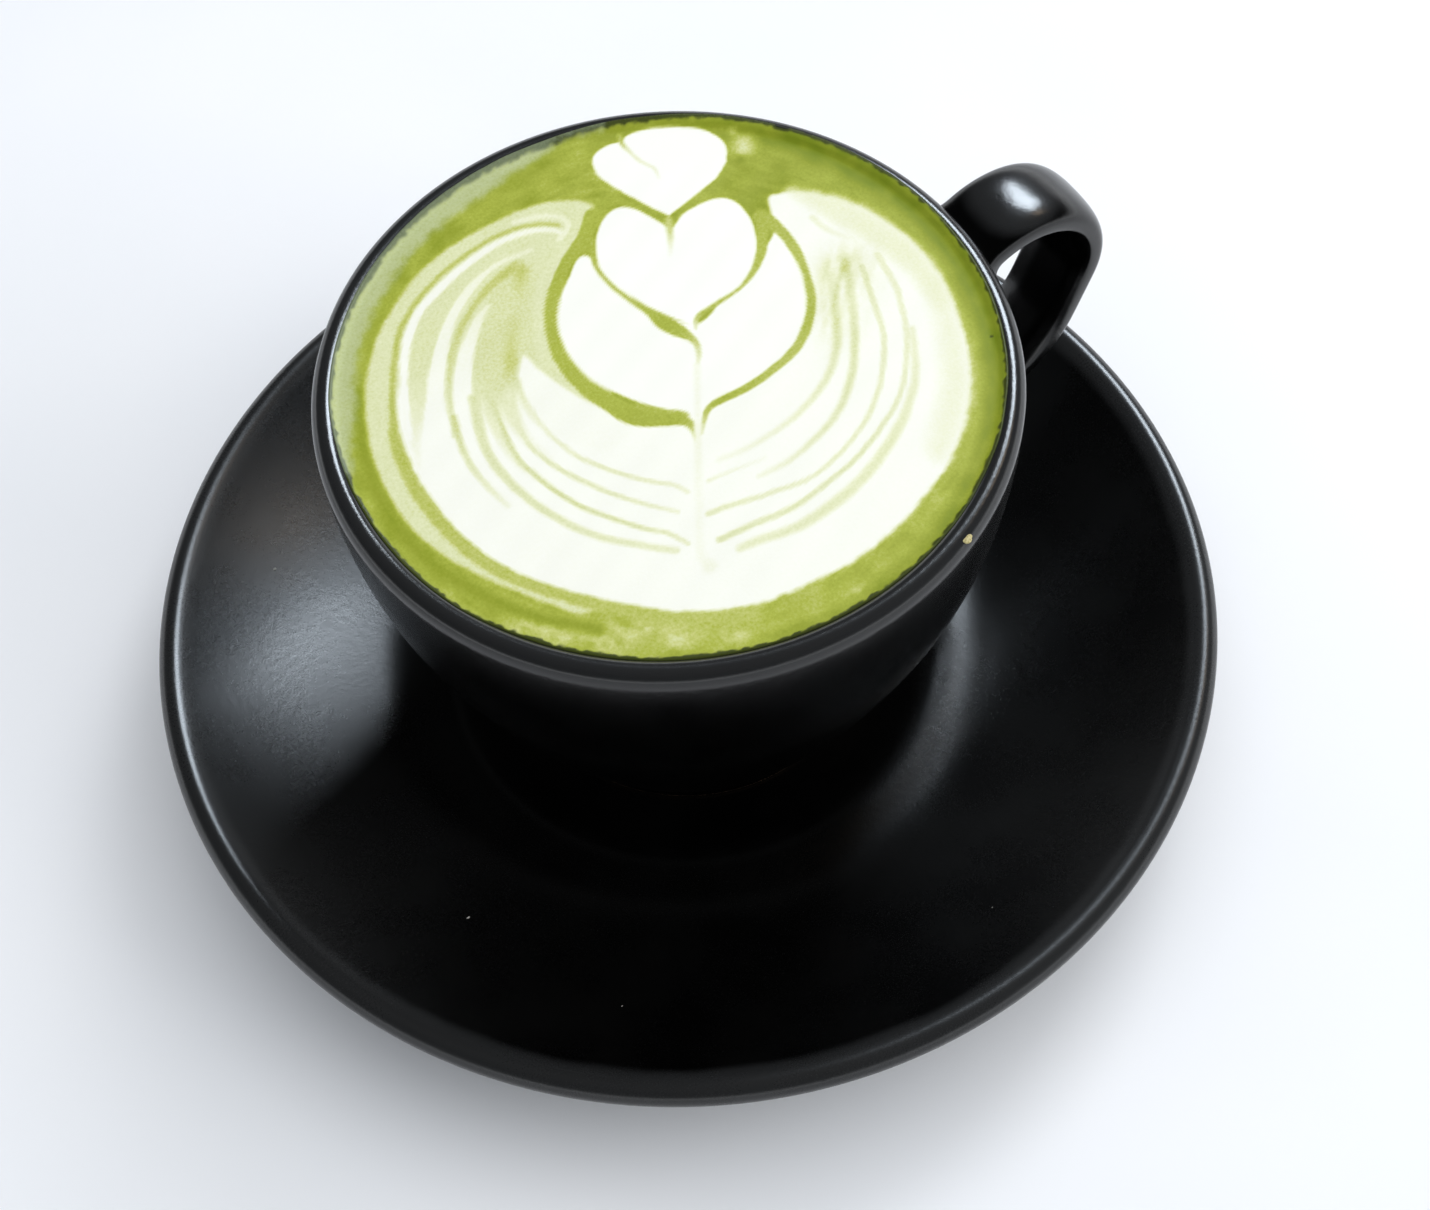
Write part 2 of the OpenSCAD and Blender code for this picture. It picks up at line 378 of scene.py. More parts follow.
climb = np.clip((pour_r - (meet_r - creep)) / creep, 0, 1)
swirl = 0.05 * np.sin(pour_x * 0.31 + 1.2) * np.sin(pour_y * 0.27)
swirl += 0.03 * np.sin(pour_x * 0.9 - pour_y * 0.7)
still = level_z + (swirl + 0.02) * np.clip((40 - pour_r) / 6, 0, 1) + 0.12 * climb ** 2
surface_z = np.maximum(still, np.where(pour_r > meet_r - 0.4, lip_height(pour_r, film_t), 0))

index = np.arange(cells * cells).reshape(cells, cells)
border = np.concatenate([index[:-1, 0], index[-1, :-1], index[:0:-1, -1], index[0, :0:-1]])
border_angle = np.arctan2(pour_y[border], pour_x[border])
border_r = pour_r[border]
tuck = 0.14
start_turn = np.degrees(np.arctan2(np.sqrt(np.maximum(lip ** 2 - (border_r - lip_r) ** 2, 0)),
                                   border_r - lip_r))
sweep = np.linspace(0, 1, 6)[:, None]
lip_turn = np.radians(start_turn + (180 - start_turn) * sweep)
skirt_r = lip_r + (lip - tuck) * np.cos(lip_turn)
skirt_z = lip_z + (lip - tuck) * np.sin(lip_turn)
cavity = even_steps(inside, 9.0)[1:-1]
fall = np.gradient(cavity, axis=0)
fall /= np.linalg.norm(fall, axis=1)[:, None]
cavity = cavity + tuck * np.stack([-fall[:, 1], fall[:, 0]], 1)
skirt_r = np.concatenate([skirt_r, cavity[:, 0:1] + 0 * border_r])
skirt_z = np.concatenate([skirt_z, cavity[:, 1:2] + 0 * border_r])
skirt = np.stack([skirt_r * np.cos(border_angle), skirt_r * np.sin(border_angle), skirt_z], -1)
top = np.stack([pour_x, pour_y, surface_z], -1)
bottom = [[0, 0, floor_z - tuck]]
drink_points = np.concatenate([top, skirt.reshape(-1, 3), bottom])
count = len(border)
grid = np.stack([index[:-1, :-1], index[1:, :-1], index[1:, 1:], index[:-1, 1:]], -1)
joint = np.stack([border, np.roll(border, -1), np.roll(np.arange(count), -1) + cells ** 2,
                  np.arange(count) + cells ** 2], -1)
drink_faces = grid.reshape(-1, 4).tolist() + joint[:, ::-1].tolist()
drink_faces += [f[::-1] for f in ring_quads(len(skirt_r), count, cells ** 2)]
drink_faces += pole_fan(cells ** 2 + (len(skirt_r) - 1) * count, count, len(drink_points) - 1, False)
turned = np.array([[np.cos(pour_turn), np.sin(pour_turn), 0],
                   [-np.sin(pour_turn), np.cos(pour_turn), 0], [0, 0, 1]])
drink_points = drink_points @ turned.T
drink_piece = mesh_piece("matcha_latte", drink_points, facing_out(drink_points, drink_faces))
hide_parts("drink")

# %% [markdown]
# ## Pouring the art
# Foam art is drawn by the stream of milk: each heart is pushed into the one below it, which folds
# the green drink between them into lines. So the pattern is painted in pouring order on the foam
# grid, as a share of milk from 0, plain matcha, to 1, white foam. Every outline and line is one
# smooth curve through a few points, and the paint falls off over a fraction of a millimetre, as
# foam edges do.

# %% Curves, fills and strokes
milk = np.full(pour_x.size, 0.12)
away = np.arctan2(pour_y, pour_x)


def ease_turn(angle):
    """1 towards the front right and 0 opposite, by a raised cosine."""
    return 0.5 + 0.5 * np.cos(angle + np.radians(40))


def cloud_at(x, y, size, seed):
    """Smooth random values from -1 to 1: a seeded square grid of numbers, blended between its
    four nearest corners by smooth steps."""
    table_of = np.random.default_rng(seed).uniform(-1, 1, (64, 64))
    gx, gy = x / size + 17.3, y / size + 9.1
    ix, iy = np.floor(gx).astype(int), np.floor(gy).astype(int)
    fx, fy = gx - ix, gy - iy
    fx, fy = fx * fx * (3 - 2 * fx), fy * fy * (3 - 2 * fy)
    a, b = table_of[ix % 64, iy % 64], table_of[(ix + 1) % 64, iy % 64]
    c, d = table_of[ix % 64, (iy + 1) % 64], table_of[(ix + 1) % 64, (iy + 1) % 64]
    return (a * (1 - fx) + b * fx) * (1 - fy) + (c * (1 - fx) + d * fx) * fy


fray = 0.05 + 0.12 * np.exp(-((pour_r - 37.5) / 3.5) ** 2) * (0.4 + 0.6 * ease_turn(away))
ink_x = pour_x + fray * (cloud_at(pour_x, pour_y, 1.3, 1) + 0.6 * cloud_at(pour_x, pour_y, .7, 2))
ink_y = pour_y + fray * (cloud_at(pour_x, pour_y, 1.3, 3) + 0.6 * cloud_at(pour_x, pour_y, .7, 4))


def through(points, closed=False, steps=7):
    """A smooth curve through points: on each span, the cubic whose end slopes are half the
    step between the neighbours on either side. Further columns are carried along with x, y."""
    p = np.array(points, float)
    if closed:
        before, here, after, beyond = np.roll(p, 1, 0), p, np.roll(p, -1, 0), np.roll(p, -2, 0)
    else:
        run = np.vstack([2 * p[:1] - p[1:2], p, 2 * p[-1:] - p[-2:-1]])
        before, here, after, beyond = run[:-3], run[1:-2], run[2:-1], run[3:]
    t = (np.arange(steps) / steps)[None, :, None]
    cubic = (here[:, None] + 0.5 * (after - before)[:, None] * t
             + (before - 2.5 * here + 2 * after - 0.5 * beyond)[:, None] * t ** 2
             + (-0.5 * before + 1.5 * here - 1.5 * after + 0.5 * beyond)[:, None] * t ** 3)
    cubic = cubic.reshape(-1, p.shape[1])
    return cubic if closed else np.vstack([cubic, p[-1:]])


def nearest(curve, closed, margin):
    """For foam points near a curve: which they are, their distance to it, the curve's further
    columns at the nearest place, and whether they lie inside it by counting crossings."""
    start = curve if closed else curve[:-1]
    stop = np.roll(curve, -1, 0) if closed else curve[1:]
    low, high = curve[:, :2].min(0) - margin, curve[:, :2].max(0) + margin
    near = np.flatnonzero((ink_x > low[0]) & (ink_x < high[0]) & (ink_y > low[1]) & (ink_y < high[1]))
    x, y = ink_x[near, None].astype("f4"), ink_y[near, None].astype("f4")
    sx, sy = start[:, 0].astype("f4"), start[:, 1].astype("f4")
    dx, dy = (stop[:, 0] - start[:, 0]).astype("f4"), (stop[:, 1] - start[:, 1]).astype("f4")
    share = np.clip(((x - sx) * dx + (y - sy) * dy) / np.maximum(dx * dx + dy * dy, 1e-9), 0, 1)
    gap = (x - sx - share * dx) ** 2 + (y - sy - share * dy) ** 2
    pick = gap.argmin(1)
    row = np.arange(len(near))
    carried = start[pick, 2:] + share[row, pick][:, None] * (stop[pick, 2:] - start[pick, 2:])
    crosses = ((sy > y) != (sy + dy > y)) & (x < sx + dx * (y - sy) / np.where(dy == 0, 1e-9, dy))
    return near, np.sqrt(gap[row, pick]), carried, crosses.sum(1) % 2 == 1


def ease(low, high, value):
    """A smooth step from 0 at low to 1 at high."""
    t = np.clip((value - low) / (high - low), 0, 1)
    return t * t * (3 - 2 * t)


def fill(points, amount, soft=0.28, strength=1.0):
    """Milk poured inside a closed outline."""
    near, gap, _, inside_it = nearest(through(points, True), True, 3 * soft)
    depth = np.where(inside_it, gap, -gap)
    cover = ease(-soft, soft, depth) * strength
    milk[near] += (amount - milk[near]) * cover


def stroke(points, width=None, amount=None, soft=0.22):
    """A line drawn through points. Third and fourth columns give its width and its milk."""
    p = np.array([list(q) + [width] * (len(q) < 3) + [amount] * (len(q) < 4) for q in points], float)
    near, gap, carried, _ = nearest(through(p), False, 4)
    half = carried[:, 0] / 2
    cover = 1 - ease(np.maximum(half - soft, 0), half + soft, gap)
    milk[near] += (carried[:, 1] - milk[near]) * cover


def tapered(points, widths, amounts):
    """The same points with a width and a milk share each, read off a few even stops."""
    stops = np.linspace(0, 1, len(points))
    w = np.interp(stops, np.linspace(0, 1, len(widths)), widths)
    m = np.interp(stops, np.linspace(0, 1, len(amounts)), amounts)
    return [(*p, u, v) for p, u, v in zip(points, w, m)]


def told(step):
    """Print how much of the surface is milk so far."""
    print("after", step, "the mean milk share is", round(float(milk.mean()), 3))


def fine_line(points, widths, amounts, soft=.22, press=1.3):
    """A hairline stroke, pressed a little deeper to make up for the grid's blur."""
    stroke(tapered(points, widths, [1 - (1 - m) * press for m in amounts]), soft=soft)


# %% [markdown]
# ## The ground: ring and pale pour
# The first milk sinks and only lightens the tea, so a green ring stays at the wall, marbled where
# it was stirred. Its milk share changes slowly round the cup, with seeded clouds for the marbling.

# %% The matcha ring round the edge
side = np.degrees(away) % 360
milk[:] = np.interp(side, [0, 40, 60, 80, 110, 150, 200, 240, 265, 290, 320, 360],
                    [.0, .02, .04, .14, .2, .2, .2, .24, .26, .2, .1, .0])
curl_r_at = pour_r + 1.5 * np.sin(2 * away + 1) + 1.2 * cloud_at(pour_x, pour_y, 9, 8)
marble = cloud_at(curl_r_at, away * 9, 1.1, 5) + 0.8 * cloud_at(curl_r_at, away * 14, .6, 6)
milk += 0.22 * (1 - ease(40.6, 42.6, pour_r + .3 * marble)) * ease_turn(away + np.radians(-35)) ** 2
milk += 0.05 * marble + 0.05 * cloud_at(pour_x, pour_y, 2.5, 7)
RIM_PALE = [(-18, -37.5, 2.2), (-14.5, -38.6, 1.8), (-9, -40, 2), (-.5, -40.8, 1.6), (7, -40.6, 1.3),
            (-27, -31.5, 1.2), (-5, -39, 1.2), (22, -35.4, 1.2)]
for x, y, size in RIM_PALE:
    blot = np.exp(-(((pour_x - x) / size / 1.5) ** 2 + ((pour_y - y) / size) ** 2))
    milk += 0.2 * blot * (0.7 + 0.6 * cloud_at(pour_x, pour_y, .9, 9))
stroke([(-40.5, 0), (-39.5, -10), (-36.5, -19), (-31.5, -26.5), (-25, -32), (-18, -36), (-10, -38.5)],
       1.6, .12, .8)
told("the ring")

# %% Pale first pour on the left
pale_edge = [(-9.2, 30), (-14, 31), (-18.5, 30), (-23, 27.7), (-28, 24.5), (-32.5, 20.3), (-35.5, 15.5),
             (-38, 10), (-39.4, 4), (-39.7, -2), (-39, -8), (-37.3, -14), (-34.5, -20), (-31, -24.5),
             (-27, -28), (-22, -31.2), (-17, -33.9), (-12, -36), (-8, -33), (-6, -20), (-8, 0),
             (-13.5, 9), (-13.6, 16), (-12, 21), (-9.8, 26)]
fill(pale_edge, .64, .5)
told("the pale pour")

# %% [markdown]
# ## The base heart and its folds
# A wiggling stream lays folds of milk, and the last pull through them bends the lines between into
# two wings. The wings are one filled outline, and each line is a stroke that tapers as it fades.

# %% The white base heart
white_edge = [(15.2, 29), (16.8, 29.9), (20, 29.8), (24, 28.4), (28, 26.2), (32, 22.5), (35, 18.5),
              (37.5, 13), (39, 7), (39.7, 1), (39.4, -5), (38, -11), (35.5, -16.5), (32, -21.5),
              (28, -26), (22.5, -30.5), (17, -33.5), (11, -35.8), (4.5, -37), (-2, -36.6), (-8, -35.2),
              (-15, -32.8), (-21, -29.5), (-26, -25), (-29.8, -20.5), (-32.3, -15.5), (-34, -10),
              (-35.2, -5), (-35.3, 0), (-34, 3), (-31, 3), (-28, 2), (-24, 0), (-20.5, 1), (-18.8, 4),
              (-16.5, 1.5), (-9, -5), (0, -8), (8, -3), (16, 4), (19, 11), (18.5, 18), (16, 24)]
fill(white_edge, .97, .4)
fill([(22, 29), (28, 26), (34, 19.5), (38, 10), (39.3, 0), (38.6, -8), (35, -16), (33, -14), (35.5, -5),
      (36, 4), (34.5, 13), (30, 19), (24, 25)], .84, 1.8)
fill([(18, 30.5), (25, 28), (31, 23), (35.5, 17), (38, 10), (36.5, 8), (33, 15), (28, 21), (22, 26)],
     .8, 1.4)
stroke([(-14, 26.6, .7), (-16.5, 27, .7), (-20, 26.3, .7), (-24.5, 24, .7), (-29.5, 19.5, .7),
        (-33.3, 14.5, .7), (-35.4, 9.5, .8), (-36.1, 3, .8), (-36.1, -2, .9), (-35.6, -8, 1.5),
        (-34.4, -12, 1.8), (-32.5, -16.4, 1.9), (-29.8, -21, 1.9), (-26, -25.7, 1.9), (-21.3, -29.7, 1.8),
        (-15, -33, 1.8), (-8, -35.6, 1.8), (0, -37.4, 1.6), (8, -37.3, 1.2)], amount=.36, soft=.35)
told("the base heart")

# %% Folded lines in the left wing
stroke([(-20, 27.6), (-16.5, 28.4), (-14, 28.2), (-12.6, 27), (-12.8, 25.5), (-13.8, 24)], .8, .8)
stroke([(-32.4, -13, .3, .95), (-33, -8, 1.4, .86), (-33, -3, 2.6, .72), (-32.8, 3, 3, .64),
        (-31.6, 9, 2.6, .63), (-29, 14, 2, .63)], soft=.5)
stroke([(-28.2, -6, .6, .9), (-28.7, -1, 1.4, .72), (-28.4, 5, 1.6, .62), (-27, 10, 1.4, .6)], soft=.4)
fill([(-19.5, 19.5), (-22, 17), (-23.8, 13), (-25, 9), (-25.8, 4), (-26, 0), (-24.5, -2), (-22, -1.5),
      (-20, 1), (-18.6, 4), (-17, 2), (-16.3, 6), (-16.3, 11), (-16.8, 16), (-17.3, 19)], .6, .6)
for run in (((-21.2, 1, 3, .6), (-20.7, -4, 2.2, .72), (-18.7, -9, 1.4, .86), (-15, -13, .6, .96)),
            ((-23.2, 0, 3, .6), (-22.6, -6, 2, .74), (-20.2, -12, 1.2, .86), (-17, -16, .6, .96)),
            ((-25.2, 1, 1.6, .6), (-24.9, -5, 1.4, .72), (-23.2, -12, .9, .86), (-20, -17, .5, .96)),
            ((-19.6, 0, 1.2, .62), (-18.2, -4.5, 1, .78), (-15.6, -8.6, .6, .93))):
    stroke(run, soft=.5)
stroke(tapered([(-33.6, -8), (-34.3, -2), (-34.7, 4), (-34.1, 9), (-32.5, 13.5), (-29, 18),
                (-25.5, 21.5), (-22, 24.2), (-18, 25.8), (-15.2, 25.9), (-13.6, 25.3)],
               [.6, 1.3, 1.3, 1, .8], [.97, .95, .88]))
stroke(tapered([(-30.8, -8), (-30.4, 0), (-29.8, 6), (-28.6, 11), (-26.5, 15.5), (-24, 18.8), (-21.5, 20.8),
                (-17.5, 22.5)], [2.4, 2, 1.4, .8, .6], [.97, .92, .86, .8]))
stroke(tapered([(-26.9, -6), (-26.9, 1), (-26.3, 6), (-25, 10.5), (-23.6, 13.2)],
               [3, 2, .6], [.97, .92, .8]))
stroke(tapered([(-27.9, -8), (-28.6, -1), (-28.4, 5), (-27, 10), (-25, 14), (-22.5, 17.5), (-19.5, 20)],
               [.6, .8, 1, 1.7], [.66, .46, .42]), soft=.3)
stroke([(-20.6, -2, .5, .76), (-20.6, 2.5, 1.6, .46), (-20.4, 7, 1.4, .5), (-19.8, 12, .8, .58)], soft=.8)
stroke([(-19.6, 14, .8, .58), (-19, 18.6, 1.8, .42), (-19.2, 20.4, .6, .55)], soft=.8)
stroke([(-13.4, 22.5), (-15.8, 17.5), (-16.8, 12), (-16.6, 7), (-16.2, 3)], 1.5, .66, .6)
fill([(-18.8, 4.5), (-16.5, 1.5), (-13.5, -1.5), (-9, -5), (-5, -8.5), (-9, -12), (-15.5, -8), (-18, -4),
      (-19.2, 0)], .96, .45)
told("the left folds")

# %% Fine lines below and to the left of the stem
fine_line([(-18.4, -3.5), (-16, -8), (-12.5, -12), (-8, -14.8), (-3.5, -16.8), (0, -17.8), (1.8, -19)],
          [.5, .7, .6], [.86, .78, .84])
fine_line([(-20.5, -5), (-18, -10.5), (-14, -14.5), (-9, -17.8), (-4, -20.3), (.5, -22)],
          [.6, .7, .5], [.8, .72, .84])
fine_line([(-23, -3), (-20.3, -11), (-17.5, -15), (-13, -19.3), (-8.5, -22), (-3.5, -24.3), (-1, -25),
          (1.5, -26.8)], [.8, .7, .6], [.7, .66, .8])
fine_line([(-25.5, -2), (-24.3, -9), (-22, -14), (-18.5, -18.5), (-14.5, -22), (-10, -24.8),
          (-5, -26.5), (0, -27.7)], [1.3, 1, .9], [.72, .72, .8], soft=.35)
fine_line([(-28.1, -5), (-26.4, -11.5), (-23.8, -16), (-21, -19.5)], [.9, .7], [.62, .9], soft=.3)
told("the fine lines on the left")

# %% Fine lines to the right of the stem
fine_line([(22.6, 17), (22.9, 11.5), (22.7, 4), (21.4, -1), (18.8, -5.4), (15, -9.3),
           (10, -12.6), (6, -14.3)],
          [1.3, 1, .7, .5], [.92, .72, .82, .93], soft=.45)
fine_line([(24.6, 18), (25.2, 11), (25, 4), (24, -2.5), (21.7, -8), (18.3, -12.2),
           (14.7, -15.3), (11, -17.2)],
          [1.2, 1, .8, .5], [.92, .7, .76, .9], soft=.4)
fine_line([(4.5, -17.5), (8, -16), (12, -14.5)], [.5, .4], [.86, .94])
fine_line([(27, 16), (28, 10), (28.8, 5), (28.5, 0), (27.3, -5), (25, -10), (21.5, -14.5),
          (17.5, -18), (12, -20), (7, -21.5), (4.3, -22.5)], [.8, .7, .6, .8], [.8, .78, .8, .76])
fine_line([(29.3, 18), (31.2, 12), (31.9, 6), (31.5, 0), (30, -6), (27, -11), (23.5, -15.5),
          (19.5, -19), (15, -22.3), (10, -24.5), (5.5, -26.5)], [.9, .7, .7, .9], [.84, .8, .74, .74])
fine_line([(32.7, 5), (32.5, -2), (31, -7.5), (28.5, -12.5), (25, -17.5), (21, -21.5), (16, -25),
          (11, -26.8), (8, -28)], [.7, 1.3, 1.4, 1], [.82, .78, .76, .8], soft=.45)
fan = pour_x - 24 - 0.25 * (pour_y - 14)
smudge = np.exp(-((fan / 3.4) ** 2 + ((pour_y - 16) / 3.4) ** 2))
smudge += 0.6 * np.exp(-((fan / 4) ** 2 + ((pour_y - 9.5) / 6) ** 2))
streaky = 0.7 + 0.5 * cloud_at(fan * 1.4, pour_y * .3, 1, 11) + 0.15 * cloud_at(pour_x, pour_y, .8, 12)
milk -= 0.34 * np.minimum(smudge, 1) * streaky * ease(18.6, 21.6, pour_x)
stroke(tapered([(21, 25.2), (22.2, 23.5), (24.5, 21.8), (27.5, 20.3)],
               [.5, .8, .6], [.8, .84, .93]), soft=.5)
told("the fine lines on the right")

# %% [markdown]
# ## The stacked hearts
# Each later heart pushes a thin green line ahead of it. So each line is stroked first, thicker
# where it gathered, and the white heart is then filled just inside it.

# %% The middle heart, with the green line folded round it
stroke([(-9, 28, 2.6, .26), (-10.5, 24, 2, .28), (-13, 19.5, 1.8, .28), (-14.8, 14, 1.8, .28),
        (-15.1, 9, 1.7, .28), (-14, 4, 2, .28), (-11.5, -.5, 2.2, .28), (-8, -4, 2.6, .27),
        (-4.5, -6.8, 2.6, .25), (-1, -7.3, 2.2, .25), (1.8, -7.8, 1.6, .28), (3, -9.2, 1, .4),
        (3.5, -11.5, .5, .7)])
stroke([(14, 26, 2.4, .3), (15.5, 24.5, 2, .3), (18, 20.5, 1.4, .32), (19.3, 15.5, 1.3, .32),
        (19.8, 11, 1.3, .3), (19, 7, 1.5, .3), (17.2, 3, 1.4, .34), (14, -.3, 1.3, .34),
        (10.5, -3, 1.2, .3), (7, -4.8, 1.1, .24), (5.2, -6, .9, .3), (4.4, -8, .7, .45), (4, -10, .4, .7)])
fill([(-10, 20.8), (-12.6, 17), (-14, 12.5), (-14, 8), (-12.5, 3.5), (-9.5, -.5), (-5, -3.8), (-1, -5.5),
      (2, -6.3), (3.6, -8.3), (3.8, -8.3), (4.6, -6), (7, -4), (11, -1.8), (15, 1.5), (17.8, 5.5),
      (19, 10.5), (18.8, 15.5), (17.3, 20), (15.7, 22.8), (14.6, 21), (8, 12), (4, 8), (-3, 12)], .99, .25)
told("the middle heart")

# %% The upper heart inside it
stroke([(-9.4, 23.5, .9, .3), (-8.9, 19, .7, .3), (-7, 15.6, .7, .32), (-4.5, 12.8, .8, .3),
        (-2, 10.6, 1.3, .28), (0, 8.4, 2.2, .26), (2, 6.8, 2, .28), (3.7, 5.3, 1, .4), (4.3, 3.5, .7, .55),
        (4.1, 1, .4, .8)])
stroke([(14, 26, 1.8, .3), (13.9, 21, 1.4, .3), (12.8, 17.4, 1.2, .32), (10.8, 14.4, 1, .34),
        (8, 12, .9, .32), (5.5, 10.2, .9, .32), (4.4, 8.8, .7, .4), (4.1, 7.2, .3, .7)])
fill([(-6, 29), (-8, 26.5), (-8.8, 22.5), (-8.2, 18.5), (-6, 15.2), (-2.5, 11.8), (1, 9.3), (3.6, 7.8),
      (3.8, 7.8), (4.4, 9.6), (7, 11.6), (10.3, 14), (12.3, 17.5), (13.1, 21.5), (12.6, 25.5), (11, 28.5),
      (9, 29.8), (6.5, 29.2), (3.5, 27.4), (1.7, 24.6), (1.5, 24.6), (.2, 25.9), (-1.4, 27.3), (-3.7, 28.9)],
     1.0, .25)
stroke([(1.3, 26.4, 1, .42), (1.4, 24, .9, .5), (1.4, 22, .5, .8), (1.3, 20, .3, .97)], soft=.4)
told("the upper heart")

# %% The small top heart and the stem
fill([(-4.6, 41.4), (-6.5, 40.9), (-8.3, 39.5), (-8.9, 37.5), (-8.2, 35.3), (-6.3, 33.2), (-3.5, 30.8),
      (-1, 28.8), (1.3, 27.1), (1.5, 27.1), (3.5, 29), (6, 31.3), (8.5, 33.8), (9.7, 36.5), (9.9, 39),
      (8.8, 41.2), (6.5, 42.7), (3.5, 43.3), (.5, 43.4), (-2.5, 43), (-4.2, 42.1)], 1.0, .25)
stroke([(-5, 42.4, .9, .3), (-4.7, 41, .7, .42), (-3.5, 39.2, .5, .72), (-2, 37.3, .5, .78),
        (-.3, 35.8, .4, .8), (.3, 34, .4, .94)])
stroke([(4, 1, .5, .9), (3.7, -6, .6, .92), (3.5, -12, .8, .9), (3.2, -20, 1, .93), (3, -28, 1, .93),
        (4, -30.3, 2, .9)], soft=.5)
for x, y, size, change in ((12.5, 39.3, 2, .36), (11.8, 36.8, .9, -.16), (11, 41.8, .8, .2)):
    milk += change * np.exp(-(((pour_x - x) / size * 1.2) ** 2 + ((pour_y - y) / size) ** 4))
milk = np.clip(milk, 0, 1)
print("milk share: least", round(float(milk.min()), 2), "mean", round(float(milk.mean()), 2))

# %% [markdown]
# ## Haze and wet film
# Where foam has drained back from the lip it leaves a greyish film with tiny bubbles, widest at
# the back left. On the lip itself the film is so thin that the dark glaze shows through. These two
# amounts are stored on the foam points beside the milk share, for the finish to read.

# %% Haze and film amounts
haze_inner = [(-7, 44), (-13, 42.2), (-16, 39.6), (-20, 36.8), (-24, 33.2), (-28, 29.7), (-32, 26),
              (-36.5, 19), (-39.5, 12), (-41, 5), (-41.3, -3), (-41.5, -8), (-41.6, -13)]
haze_outer = [(-45, -14), (-47, -8), (-48, 5), (-44, 20), (-36, 33), (-24, 43), (-10, 48)]
near, gap, _, held = nearest(through(haze_inner + haze_outer, True), True, 4)
frayed = cloud_at(pour_x, pour_y, 1.4, 13) + 0.8 * cloud_at(pour_x, pour_y, .7, 14)
haze = np.zeros(pour_x.size)
haze[near] = ease(-1.3, 1.1, np.where(held, gap, -gap) + .3 * frayed[near])
edge_r = film_edge(away)
wet_run = 0.8 + 0.8 * np.maximum(np.cos(away - np.radians(108)), 0) ** 3
wet = ease(edge_r - wet_run, edge_r - .1, pour_r + .25 * cloud_at(pour_x, pour_y, .8, 15))
for x, y, long, short in ((18, 41.6, 1.5, .8), (21.5, 39.9, .8, .5), (15.2, 43, .6, .4)):
    lean = np.arctan2(y, x)
    out = (pour_x - x) * np.cos(lean) + (pour_y - y) * np.sin(lean)
    round_it = -(pour_x - x) * np.sin(lean) + (pour_y - y) * np.cos(lean)
    wet = np.maximum(wet, 1.6 * np.exp(-((out / short) ** 2 + (round_it / long) ** 4)))
speck = np.exp(-(((pour_x - 43) ** 2 + (pour_y - 2.8) ** 2) / .3 ** 2))
amounts = {"milk": milk, "haze": haze, "wet": np.clip(np.maximum(wet, speck), 0, 1.3)}
for name, amount in amounts.items():
    below = np.full(len(drink_points) - len(amount), 0.15 if name == "milk" else float(name == "wet"))
    layer = drink_piece.data.attributes.new(name, "FLOAT", "POINT")
    layer.data.foreach_set("value", np.concatenate([amount, below]).astype("f4"))
    print(name, "runs from", round(float(amount.min()), 2), "to", round(float(amount.max()), 2))

# %% [markdown]
# ## Writing shaders as sums
# A finish is a little network of nodes. To keep it readable, one small class holds a socket and
# lets Python's own signs add the Math nodes, so that 1 - mask is written as it is meant.

# %% The wire class


class Wire:
    """One output of a shader tree. Adding, subtracting or multiplying wires adds Math nodes."""

    def __init__(self, tree, socket=None):
        self.tree, self.socket = tree, socket

    def node(self, kind, settings=None, sockets=None, out=0):
        """Any node: its settings are set first, then its sockets get values or links."""
        made = self.tree.nodes.new(kind)
        for name, value in (settings or {}).items():
            if name == "stops":
                ramp = made.color_ramp
                ramp.elements.remove(ramp.elements[1])
                ramp.elements[0].position, ramp.elements[0].color = value[0][0], (*value[0][1], 1)
                for place, colour in value[1:]:
                    ramp.elements.new(place).color = (*colour, 1)
            else:
                setattr(made, name, value)
        for name, value in (sockets or {}).items():
            if isinstance(value, Wire):
                self.tree.links.new(value.socket, made.inputs[name])
            else:
                made.inputs[name].default_value = value
        return Wire(self.tree, made.outputs[out] if made.outputs else None)

    def math(self, operation, first, second):
        """One Math node of two wires or numbers."""
        return self.node("ShaderNodeMath", {"operation": operation}, {0: first, 1: second})

    def __add__(self, other):
        return self.math("ADD", self, other)

    __radd__ = __add__

    def __sub__(self, other):
        return self.math("SUBTRACT", self, other)

    def __rsub__(self, other):
        return self.math("SUBTRACT", other, self)

    def __mul__(self, other):
        return self.math("MULTIPLY", self, other)

    __rmul__ = __mul__

    def step(self, low, high):
        """A smooth mask from 0 at low to 1 at high."""
        return self.node("ShaderNodeMapRange", {"interpolation_type": "SMOOTHSTEP"},
                         {"Value": self, "From Min": low, "From Max": high})

    def mixed(self, under, over):
        """This wire as a mask between two colours, each a wire or three amounts."""
        under, over = [c if isinstance(c, Wire) else (*c, 1) for c in (under, over)]
        return self.node("ShaderNodeMix", {"data_type": "RGBA"}, {0: self, 6: under, 7: over}, 2)


def tint(red, green, blue):
    """A colour given by its everyday 0 to 255 numbers, turned into light amounts."""
    c = np.array([red, green, blue]) / 255
    return tuple(float(v) for v in np.where(c <= .04045, c / 12.92, ((c + .055) / 1.055) ** 2.4))


def begin(name):
    """A new empty material, the wire its nodes are added from, and the place on the piece."""
    material = bpy.data.materials.new(name)
    material.use_nodes = True
    material.node_tree.nodes.clear()
    w = Wire(material.node_tree)
    return material, w, w.node("ShaderNodeTexCoord", out="Object")


